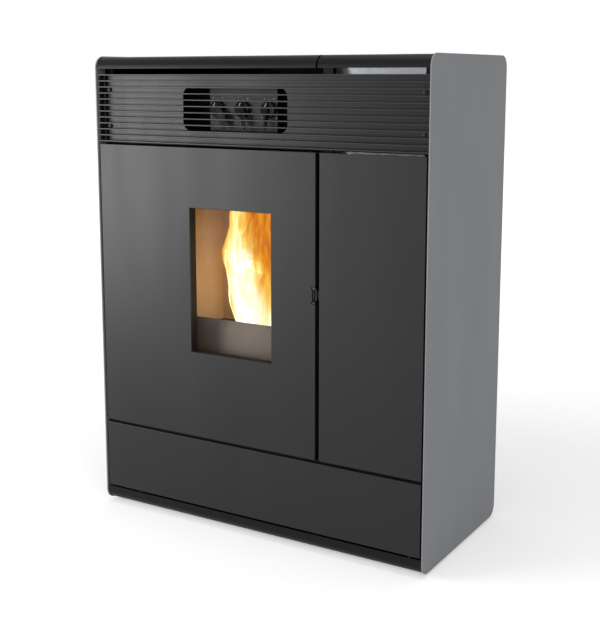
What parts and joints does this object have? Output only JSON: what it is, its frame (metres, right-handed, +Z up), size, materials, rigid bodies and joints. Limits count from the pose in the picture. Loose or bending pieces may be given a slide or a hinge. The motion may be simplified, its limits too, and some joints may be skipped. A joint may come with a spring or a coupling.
{
  "type": "pellet stove",
  "caption": "Slim floor-standing pellet stove with a louvred top, a glazed fire door, a pellet hopper lid and an ash drawer.",
  "frame": {"origin": "on the floor under the middle of the case", "axes": "+Z up, +X to the right of a person who faces the stove, +Y from the front towards the wall"},
  "size_m": [0.89, 0.422, 1.13],
  "materials": {
    "side_paint": "fine satin grey powder coat",
    "black_paint": "satin black powder coat",
    "grille_paint": "satin graphite powder coat",
    "front_enamel": "smooth semi-gloss graphite enamel",
    "heatproof_black": "matt heat-resistant black",
    "galvanised_steel": "galvanised sheet",
    "zinc_hardware": "bright zinc",
    "screw_black": "blackened steel",
    "cast_iron": "raw cast, ash stained",
    "refractory": "buff vermiculite board",
    "glass": "clear ceramic glass",
    "sealing_rope": "braided glass-fibre rope",
    "lid_rubber": "soft foam rubber",
    "black_plastic": "fine moulded texture",
    "grey_plastic": "fine moulded texture",
    "circuit_board": "lacquered board",
    "motor_aluminium": "die cast"
  },
  "bodies": {
    "root": {"left_side_panel": "side_paint", "right_side_panel": "side_paint", "top_cover": "black_paint", "lid_rear_strip": "black_paint", "base_tray": "black_paint", "levelling_feet": "zinc_hardware", "side_bulkheads": "black_paint", "centre_bulkhead": "black_paint", "cross_rails": "black_paint", "louvre_grille": "grille_paint", "case_screws": "screw_black", "grille_backing_plate": "grille_paint", "console_housing": "black_plastic", "console_face": "grey_plastic", "circuit_boards": "circuit_board", "door_brackets_and_catch": "galvanised_steel", "side_front_panel": "front_enamel", "drawer_rails": "galvanised_steel", "firebox_front": "heatproof_black", "firebox_shell": "heatproof_black", "ash_chute": "heatproof_black", "hearth_and_guard": "cast_iron", "refractory_linings": "refractory", "flame_baffle": "refractory", "exchanger_tubes": "heatproof_black", "burn_pot": "cast_iron", "igniter": "refractory", "pellet_hopper": "galvanised_steel", "hopper_grid": "zinc_hardware", "auger_tube": "galvanised_steel", "auger_motor": "motor_aluminium", "pellet_drop": "heatproof_black", "smoke_duct": "heatproof_black", "exhaust_housing": "motor_aluminium", "exhaust_motor": "motor_aluminium", "flue_spigot": "heatproof_black", "air_inlet": "heatproof_black", "blower_housing": "galvanised_steel", "blower_motor": "motor_aluminium", "back_panel": "black_paint", "power_inlet": "black_plastic"},
    "door": {"door_skin": "front_enamel", "door_frame": "heatproof_black", "door_glass": "glass", "door_seals": "sealing_rope", "glass_clips": "zinc_hardware", "door_hinge_pins": "zinc_hardware"},
    "latch": {"door_latch": "screw_black"},
    "lid": {"hopper_lid": "black_paint", "lid_gasket": "lid_rubber"},
    "ash_drawer": {"lower_front_panel": "front_enamel", "ash_pan": "galvanised_steel", "drawer_runners": "galvanised_steel"},
    "knob_left": {"left_knob": "black_plastic"},
    "knob_middle": {"middle_knob": "black_plastic"},
    "knob_right": {"right_knob": "black_plastic"},
    "feed_screw": {"auger_screw": "zinc_hardware"},
    "exhaust_wheel": {"exhaust_impeller": "zinc_hardware"},
    "blower_wheel": {"blower_impeller": "black_plastic"},
    "switch_rocker": {"power_rocker": "black_plastic"}
  },
  "joints": [
    {"name": "door_hinge", "type": "hinge", "parent": "root", "child": "door", "pos_m": [-0.421, -0.197, 0.571], "axis": [0, 0, -1], "range_deg": [0, 95]},
    {"name": "door_latch_turn", "type": "hinge", "parent": "door", "child": "latch", "pos_m": [0.16, -0.195, 0.602], "axis": [0, 0, 1], "range_deg": [0, 35], "stiffness_Nm_per_rad": 0.2},
    {"name": "hopper_lid_hinge", "type": "hinge", "parent": "root", "child": "lid", "pos_m": [0.30925, 0.1482, 1.125], "axis": [-1, 0, 0], "range_deg": [0, 80]},
    {"name": "ash_drawer_slide", "type": "slide", "parent": "root", "child": "ash_drawer", "axis": [0, -1, 0], "range_m": [0, 0.18]},
    {"name": "left_knob_turn", "type": "hinge", "parent": "root", "child": "knob_left", "pos_m": [-0.127, -0.1475, 1.007], "axis": [0, -1, 0], "range_deg": [-135, 135]},
    {"name": "middle_knob_turn", "type": "hinge", "parent": "root", "child": "knob_middle", "pos_m": [-0.056, -0.1475, 1.007], "axis": [0, -1, 0], "range_deg": [-135, 135]},
    {"name": "right_knob_turn", "type": "hinge", "parent": "root", "child": "knob_right", "pos_m": [0.015, -0.1475, 1.007], "axis": [0, -1, 0], "range_deg": [-135, 135]},
    {"name": "feed_screw_turn", "type": "hinge", "parent": "root", "child": "feed_screw", "pos_m": [0.29, 0.1, 0.33], "axis": [-0.8192, 0, 0.5736], "continuous": true},
    {"name": "exhaust_fan_turn", "type": "hinge", "parent": "root", "child": "exhaust_wheel", "pos_m": [-0.3, 0.07, 0.23], "axis": [1, 0, 0], "continuous": true},
    {"name": "room_blower_turn", "type": "hinge", "parent": "root", "child": "blower_wheel", "pos_m": [-0.02, 0.118, 0.05], "axis": [1, 0, 0], "continuous": true},
    {"name": "power_switch_rock", "type": "hinge", "parent": "root", "child": "switch_rocker", "pos_m": [0.33, 0.16, 0.178], "axis": [1, 0, 0], "range_deg": [-8, 8]}
  ]
}
